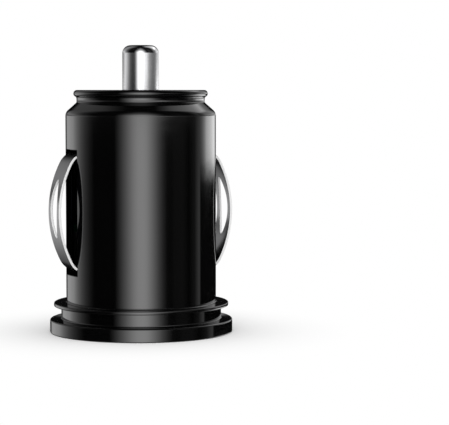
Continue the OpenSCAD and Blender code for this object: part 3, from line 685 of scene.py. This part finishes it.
print("tip pin")
pin = {"r": 2.5, "top": 39.3, "edge": 1.1, "flangeR": 3.4, "flangeLow": 28.97, "flangeHigh": 29.77,
       "flangeEdge": 0.1, "stubR": 1.3, "stubLow": 28.07, "stubEdge": 0.2, "travel": 2.0, "sides": 128}
stub, flange = pin["stubEdge"], pin["flangeEdge"]
pinSection = [(0, pin["stubLow"])]
pinSection += arcPoints((pin["stubR"] - stub, pin["stubLow"] + stub), stub, -90, 0, 4)
pinSection += [(pin["stubR"], pin["flangeLow"]), (pin["flangeR"] - flange, pin["flangeLow"]),
               (pin["flangeR"], pin["flangeLow"] + flange), (pin["flangeR"], pin["flangeHigh"] - flange),
               (pin["flangeR"] - flange, pin["flangeHigh"]), (pin["r"], pin["flangeHigh"])]
pinSection += arcPoints((pin["r"] - pin["edge"], pin["top"] - pin["edge"]), pin["edge"], 0, 90, 12)
pinSection += [(0, pin["top"])]
pinPiece = turned("tipPin", pinSection, pin["sides"])
smooth(pinPiece)
dress(pinPiece, "tip", "tip_chrome", chrome, "tip_pin")

# the coil under the pin, copied from the CAD node; the real coil shortens as the pin goes in
springPiece = copyOfNode("tip_spring", "tipSpring")
smooth(springPiece, 40, weighted=False)
dress(springPiece, "housing", "spring_steel", springSteel, "tip_spring")
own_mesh(springPiece)

# ground contacts

print("ground contacts")
leaf = {
    "halfW": 2.6, "t": 0.35, "mid": 16.625, "bowR": 14.859, "bowX": -2.43, "turn": 26.8,
    "endR": 3.0, "endX": 8.156, "endZ": 5.347, "endAngle": 66.24,
    "bendR": 0.8, "bendX": 9.687, "bendZ": 8.825, "tailX": 8.887, "tail": 1.4,
    "windowHalfW": 1.6, "windowHalfLen": 3.95, "windowEnd": 0.6, "windowLift": 0.5, "edge": 0.06,
    "cutterX": 8, "bowHalfLen": 7.6, "shadeAngle": 15,
}


def leafPath(p):
    # the outer face of the strip seen from the side, from the lower tail up to the upper one
    half = [(p["tailX"], p["mid"] + p["bendZ"] + p["tail"] * (1 - i / 3)) for i in range(3)]
    half += arcPoints((p["bendX"], p["mid"] + p["bendZ"]), p["bendR"], 180, 180 + p["endAngle"], 10)
    half += arcPoints((p["endX"], p["mid"] + p["endZ"]), p["endR"], p["endAngle"], p["turn"], 12)[1:]
    upper = half + arcPoints((p["bowX"], p["mid"]), p["bowR"], p["turn"], 0, 28)[1:]
    lower = [(x, 2 * p["mid"] - z) for x, z in upper[:-1]]
    return lower + upper[::-1]


def windowOutline(p):
    # two long arcs that run into small round ends
    endMiddle = p["windowHalfLen"] - p["windowEnd"]
    wide, end = p["windowHalfW"], p["windowEnd"]
    sideR = (wide ** 2 + endMiddle ** 2 - end ** 2) / (2 * (wide - end))
    turn = degrees(atan2(endMiddle, sideR - wide))
    points = arcPoints((wide - sideR, 0), sideR, -turn, turn, 16)
    points += arcPoints((0, endMiddle), end, turn, 180 - turn, 10)[1:]
    points += arcPoints((sideR - wide, 0), sideR, 180 - turn, 180 + turn, 16)[1:]
    points += arcPoints((0, -endMiddle), end, 180 + turn, 360 - turn, 10)[1:-1]
    return points


path = leafPath(leaf)
strip = startMesh("groundContact", lambda: bpy.ops.mesh.primitive_plane_add(size=2 * leaf["halfW"] * mm))
editMode()
pick("verts", lambda vert: vert.co.x > 0)
bpy.ops.mesh.delete(type="VERT")
selectAll()
moveBy(path[0][0] + leaf["halfW"], 0, path[0][1])
for before, after in zip(path, path[1:]):
    extrude(after[0] - before[0], 0, after[1] - before[1])
closeMesh()
facesOut = sum(face.normal.x * face.area for face in strip.data.polygons) > 0
applyModifier(strip, "SOLIDIFY", thickness=leaf["t"] * mm, offset=-1 if facesOut else 1,
              use_even_offset=True)
editMode()
closeMesh()
windowZ = leaf["mid"] + leaf["windowLift"]
cutter = drawn("windowCutter", [(leaf["cutterX"], y, windowZ + z) for y, z in windowOutline(leaf)])
selectAll()
bpy.ops.mesh.remove_doubles(threshold=0.001 * mm)
selectAll()
bpy.ops.mesh.edge_face_add()
extrude(leaf["cutterX"], 0, 0)
closeMesh()
cutAway(strip, cutter)
roundEdges(strip, leaf["edge"], 2, 40)
# the small angle keeps the rounded edges from tilting the shading of the band beside the window
smooth(strip, leaf["shadeAngle"])
# the cut edges, which get the painted highlight: faces that stand square to the strip, round the outline
# and in the window
cutEdgeHighlight = strip.data.attributes.new("cutEdgeHighlight", "FLOAT", "FACE")
bowMiddle = Vector((leaf["bowX"], 0, leaf["mid"])) * mm
for face, highlightValue in zip(strip.data.polygons, cutEdgeHighlight.data):
    outward = face.center - bowMiddle
    outward.y = 0
    isSquare = abs(face.normal.dot(outward.normalized())) < 0.6
    highlightValue.value = 1.0 if isSquare and abs(outward.z) < leaf["bowHalfLen"] * mm else 0.0
strip.name = strip.data.name = "groundContactRight"
mirrored = strip.copy()
mirrored.data = strip.data.copy()
mirrored.name = mirrored.data.name = "groundContactLeft"
bpy.context.collection.objects.link(mirrored)
only(mirrored)
editMode()
selectAll()
bpy.ops.transform.resize(value=(-1, 1, 1), center_override=(0, 0, 0))
closeMesh()
smooth(mirrored, leaf["shadeAngle"])
dress(strip, "right_contact", "contact_steel", contactSteel, "ground_contact_right")
dress(mirrored, "left_contact", "contact_steel", contactSteel, "ground_contact_left")

# studio

print("studio")
view = {"place": (-76.8, -238.2, 33.2), "turn": -20.5, "down": 3.85, "lens": 146}
bpy.ops.object.camera_add(location=tuple(p * mm for p in view["place"]),
                          rotation=(radians(90 - view["down"]), 0, radians(view["turn"])))
camera = bpy.context.object
camera.data.lens = view["lens"]
camera.data.sensor_width = 36
camera.data.sensor_fit = "HORIZONTAL"
camera.data.clip_start = 0.01
camera.data.clip_end = 10
bpy.context.scene.camera = camera
bpy.context.scene.view_settings.view_transform = "Standard"

# a floor that only the camera sees: paper that takes the shadow, and pure white further out
paperReach = 11
whiteReach = 31
floorMaterial = Nodes(bpy.data.materials.new("studio floor"))
floorTree = floorMaterial.tree
floorTree.nodes.clear()
floorPlace = floorMaterial.add("TexCoord", out="Object")
reach = floorMaterial.add("VectorMath", {"operation": "LENGTH"}, {0: floorPlace}, out="Value")
away = floorMaterial.add("MapRange", {"interpolation_type": "SMOOTHSTEP"}, {
    "Value": reach, "From Min": paperReach * mm, "From Max": whiteReach * mm})
paper = floorMaterial.add("BsdfDiffuse", None, {"Color": (0.9, 0.9, 0.9)})
glow = floorMaterial.add("Emission", None, {"Color": (1, 1, 1), "Strength": 1})
under = floorMaterial.add("NewGeometry", out="Backfacing")
topSide = floorMaterial.add("MixShader", None, {0: away, 1: paper, 2: glow})
clear = floorMaterial.add("BsdfTransparent")
floorLook = floorMaterial.add("MixShader", None, {0: under, 1: topSide, 2: clear})
floorEnd = floorTree.nodes.new("ShaderNodeOutputMaterial")
plug(floorTree, floorEnd.inputs["Surface"], floorLook)
bpy.ops.object.select_all(action="DESELECT")
bpy.ops.mesh.primitive_plane_add(size=3, location=(0, 0, 0))
floor = bpy.context.object
floor.name = "floor"
editMode()
selectAll()
bpy.ops.mesh.subdivide(number_cuts=8)
moveBy(0, 0, -0.01)
objectMode()
floor.data.materials.append(floorMaterial.owner)
floor.visible_diffuse = False
floor.visible_glossy = False
floor.visible_transmission = False
floor.visible_shadow = False

# soft boxes for the matt pieces and the floor's shadow
lamps = [
    ("topBox", (0.02, -0.04, 0.42), 0.34, 0.6),
    ("frontBox", (-0.16, -0.38, 0.26), 0.26, 0.75),
]
for name, place, size, power in lamps:
    bpy.ops.object.light_add(type="AREA", location=place)
    lamp = bpy.context.object
    lamp.name = name
    lamp.data.size = size
    lamp.data.energy = power
    lamp.rotation_euler = (Vector((0, 0, 0.015)) - Vector(place)).to_track_quat("-Z", "Y").to_euler()
    lamp.visible_glossy = False

# the studio that polished pieces reflect: soft strips that stand round the object. Each has its
# brightness by the turn from the camera's side and by the height above the floor, in degrees
strips = {
    "front": {
        "peak": 2.4,
        "turns": [(-60, 0), (-40, 0), (-35, 0.05), (-30, 0.14), (-23, 0.33), (-16.5, 0.56),
                  (-10.5, 0.8), (-4, 0.98), (3, 1), (8, 0.92), (14, 0.68), (20, 0.43), (26.5, 0.2),
                  (33, 0.07), (39, 0.01), (48, 0)],
        "heights": [(-90, 0), (-62, 0.03), (-46, 0.1), (-34, 0.28), (-24, 0.65), (-14, 1),
                    (-0.3, 1), (0.1, 0), (3, 0), (5, 0.95), (16, 0.8), (24, 0.55), (32, 0.36),
                    (42, 0.2), (55, 0.1), (70, 0.04), (82, 0)],
    },
    "left": {
        "peak": 1.3,
        "turns": [(-161, 0), (-153, 0.6), (-141, 0.85), (-126, 1), (-113, 0.6), (-103, 0.32),
                  (-94, 0.15), (-85, 0.05), (-76, 0)],
        "heights": [(-90, 0.1), (-64, 0.1), (-46, 0.08), (-30, 0.1), (-16, 0.35), (-8, 1),
                    (-0.3, 1), (0.1, 0), (3, 0), (6, 0.6), (18, 0.3), (28, 0.22), (45, 0.2),
                    (62, 0.13), (78, 0)],
    },
    "right": {
        "peak": 2.4,
        "turns": [(44, 0), (52, 0.012), (66, 0.014), (78, 0), (90, 0.02), (101, 0.13), (103, 0)],
        "heights": [(-90, 0.05), (-52, 0.22), (-32, 0.6), (-16, 1), (-0.3, 1), (0.1, 0), (3, 0),
                    (6, 0.8), (32, 0.72), (42, 0.4), (54, 0.26), (66, 0.18), (78, 0)],
    },
    # behind it and to the right, with a dark board along its foot
    "farRight": {
        "peak": 2.5,
        "turns": [(101, 0), (103, 0.15), (108, 0.27), (114, 0.52), (120, 0.92), (127, 1),
                  (148, 0.95), (157, 0.5), (164, 0)],
        "heights": [(-90, 0.05), (-52, 0.22), (-32, 0.6), (-16, 1), (-9.6, 1), (-8.6, 0), (-2.8, 0),
                    (-2.3, 1), (-0.3, 1), (0.1, 0), (3, 0), (6, 0.45), (12, 0.28), (25, 0.28),
                    (33, 0.66), (42, 0.4), (54, 0.26), (66, 0.18), (78, 0)],
    },
    "level": {
        "peak": 1.5,
        "turns": [(-170, 0.1), (-150, 0.14), (-129, 0.26), (-112, 0.53), (-100, 0.48), (-84, 0.28),
                  (-67, 0.085), (-52, 0.045), (-37, 0.05), (-29, 0.19), (-21, 0.55), (-13, 1),
                  (18, 1), (38, 0.88), (47, 0.6), (53, 0.38), (61, 0.27), (75, 0.18), (93, 0.12),
                  (112, 0.12), (128, 0.24), (147, 0.5), (163, 0.5), (178, 0.15)],
        "heights": [(-0.3, 0), (0.1, 1), (3, 1), (5, 0)],
    },
    "below": {
        "peak": 1.1,
        "turns": [(-180, 0.75), (-140, 1), (-70, 0.5), (-10, 0.08), (30, 0.05), (80, 0.3),
                  (130, 0.9), (180, 0.75)],
        "heights": [(-90, 0.6), (-74, 1), (-64, 0.95), (-54, 0.25), (-46, 0)],
    },
}
roomLevel = 0.005
toCamera = Vector((view["place"][0], view["place"][1], 0)).normalized()
toRight = Vector((-toCamera.y, toCamera.x, 0))
world = bpy.data.worlds.new("studio")
bpy.context.scene.world = world
sky = Nodes(world)
sky.tree.nodes.clear()
direction = sky.add("TexCoord", out="Generated")
across = sky.add("VectorMath", {"operation": "DOT_PRODUCT"}, {0: direction, 1: toRight}, out="Value")
towards = sky.add("VectorMath", {"operation": "DOT_PRODUCT"}, {0: direction, 1: toCamera}, out="Value")
upwards = sky.add("SeparateXYZ", None, {0: direction}, out="Z")
turn = across.maths("ARCTAN2", across, towards) / (2 * pi) + 0.5
height = upwards.maths("ARCSINE", upwards) / pi + 0.5
reflected = roomLevel
for light in strips.values():
    turnStops = [((angle + 180) / 360, level) for angle, level in light["turns"]]
    heightStops = [((angle + 90) / 180, level) for angle, level in light["heights"]]
    byTurn = sky.add("ValToRGB", {"stops": turnStops}, {"Fac": turn})
    byHeight = sky.add("ValToRGB", {"stops": heightStops}, {"Fac": height})
    reflected = byTurn * byHeight * light["peak"] + reflected
ambient = 0.55 + upwards * 0.15 + upwards.maths("MAXIMUM", upwards * -0.55, 0)
rays = sky.tree.nodes.new("ShaderNodeLightPath")
isCamera = Wire(sky.tree, rays.outputs["Is Camera Ray"])
isGlossy = Wire(sky.tree, rays.outputs["Is Glossy Ray"])
level = ambient * (1 - isGlossy) + reflected * isGlossy
level = level * (1 - isCamera) + isCamera
backdrop = sky.add("Background", None, {"Color": (1, 1, 1), "Strength": level})
world.cycles.sampling_method = "NONE"   # so that lamps' rays don't mix the two looks of the world
skyEnd = sky.tree.nodes.new("ShaderNodeOutputWorld")
plug(sky.tree, skyEnd.inputs["Surface"], backdrop)

print("done")
